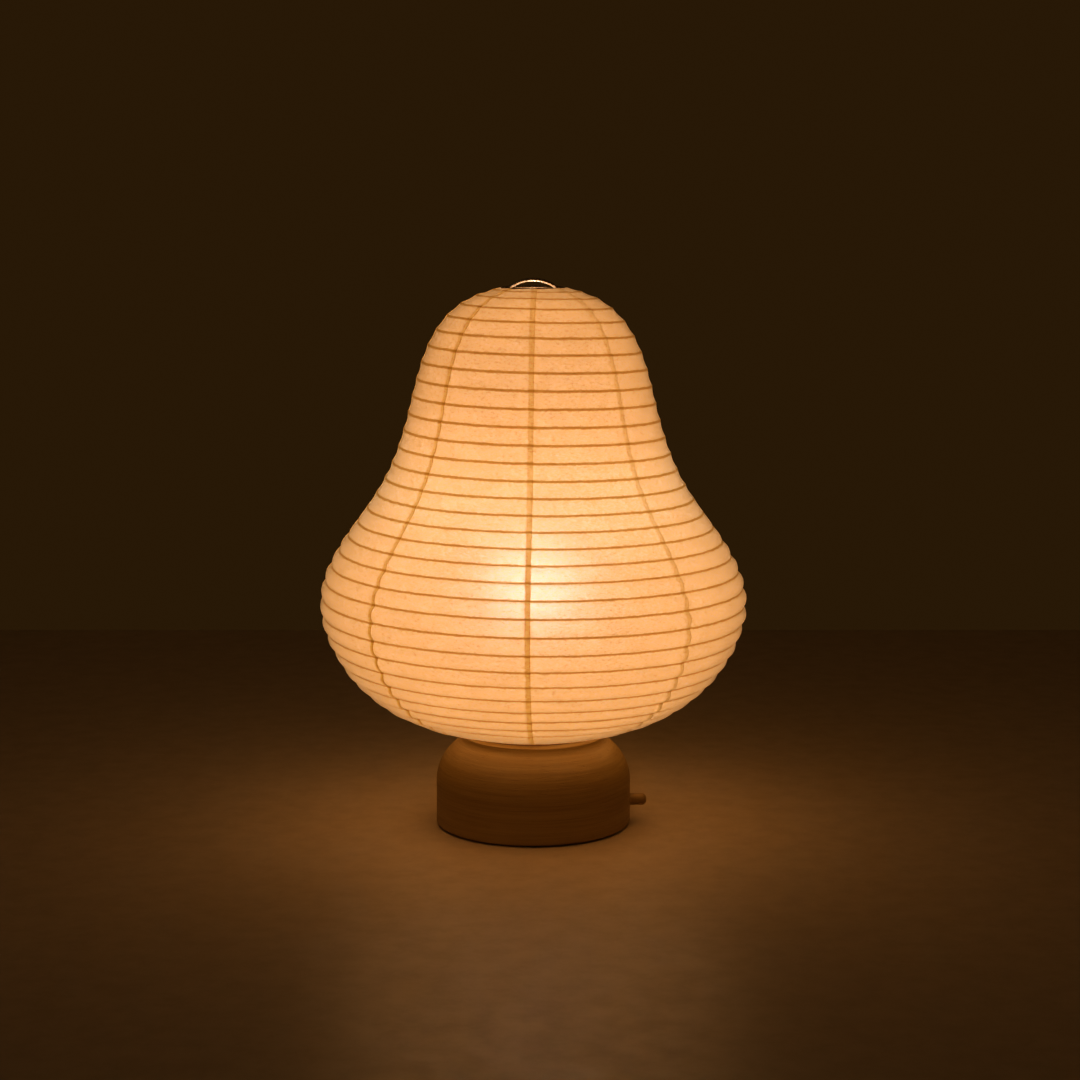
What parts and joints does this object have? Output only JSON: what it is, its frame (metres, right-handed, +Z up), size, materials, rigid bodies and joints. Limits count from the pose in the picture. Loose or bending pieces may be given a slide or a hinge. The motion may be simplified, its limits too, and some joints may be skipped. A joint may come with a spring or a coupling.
{
  "type": "paper table lamp",
  "caption": "Table lamp with a pear-shaped paper shade on a spiral rib, hung on a wire bow over a turned wooden base with a dimmer peg.",
  "frame": {"origin": "centre of the base on the surface that the lamp stands on", "axes": "+Z up along the lamp's axis, +X towards the dimmer peg, +Y towards the cord inlet at the back"},
  "size_m": [0.2513, 0.2513, 0.3229],
  "materials": {
    "turned_wood": "turned, sanded and oiled hardwood",
    "cover_board": "sanded fibreboard",
    "felt": "pressed felt",
    "inlet_plastic": "moulded",
    "dimmer_plastic": "moulded",
    "plated_steel": "zinc plated",
    "brass": "plain",
    "holder_plastic": "moulded",
    "holder_ceramic": "glazed",
    "bulb_plastic": "moulded",
    "bulb_board": "white board with yellow chips",
    "bulb_cap": "pressed",
    "bulb_globe": "frosted, lit",
    "bow_wire": "drawn steel wire",
    "hoop": "bent wood",
    "rib": "thin split bamboo",
    "washi": "hand-made paper with long fibres, lit from inside",
    "connector_plastic": "moulded",
    "lead_sheath": "extruded insulation"
  },
  "bodies": {
    "base": {"base_body": "turned_wood", "bottom_cover": "cover_board", "felt_ring": "felt", "cord_bush": "inlet_plastic", "dimmer_body": "dimmer_plastic", "dimmer_plate": "plated_steel", "nipple_washer": "plated_steel", "cover_screws": "plated_steel", "plate_screws": "plated_steel", "connector_screws": "plated_steel", "block_screw": "plated_steel", "dimmer_bush": "brass", "dimmer_nut": "brass", "dimmer_tags": "brass", "nipple_tube": "brass", "nipple_nuts": "brass", "holder_shell": "brass", "holder_contact": "brass", "holder_terminals": "brass", "bow_ferrules": "brass", "connector_sleeves": "brass", "bulb_contact": "brass", "holder_cup": "holder_plastic", "holder_skirt": "holder_plastic", "holder_core": "holder_ceramic", "bulb_housing": "bulb_plastic", "bulb_insulator": "bulb_plastic", "bulb_board": "bulb_board", "bulb_cap": "bulb_cap", "bulb_globe": "bulb_globe", "stretcher_bow": "bow_wire", "connector_block": "connector_plastic", "inner_leads": "lead_sheath"},
    "dimmer_knob": {"switch_peg": "turned_wood", "dimmer_spindle": "plated_steel"},
    "shade": {"paper_gore_1": "washi", "paper_gore_2": "washi", "paper_gore_3": "washi", "paper_gore_4": "washi", "paper_gore_5": "washi", "paper_gore_6": "washi", "paper_gore_7": "washi", "paper_gore_8": "washi", "spiral_rib": "rib", "top_ring": "bow_wire", "bottom_hoop": "hoop"}
  },
  "joints": [
    {"name": "shade_lift", "type": "slide", "parent": "base", "child": "shade", "axis": [0, 0, 1], "range_m": [0, 0.275]},
    {"name": "dimmer_turn", "type": "hinge", "parent": "base", "child": "dimmer_knob", "pos_m": [0.0576, 0, 0.0136], "axis": [1, 0, 0], "range_deg": [0, 300]}
  ]
}
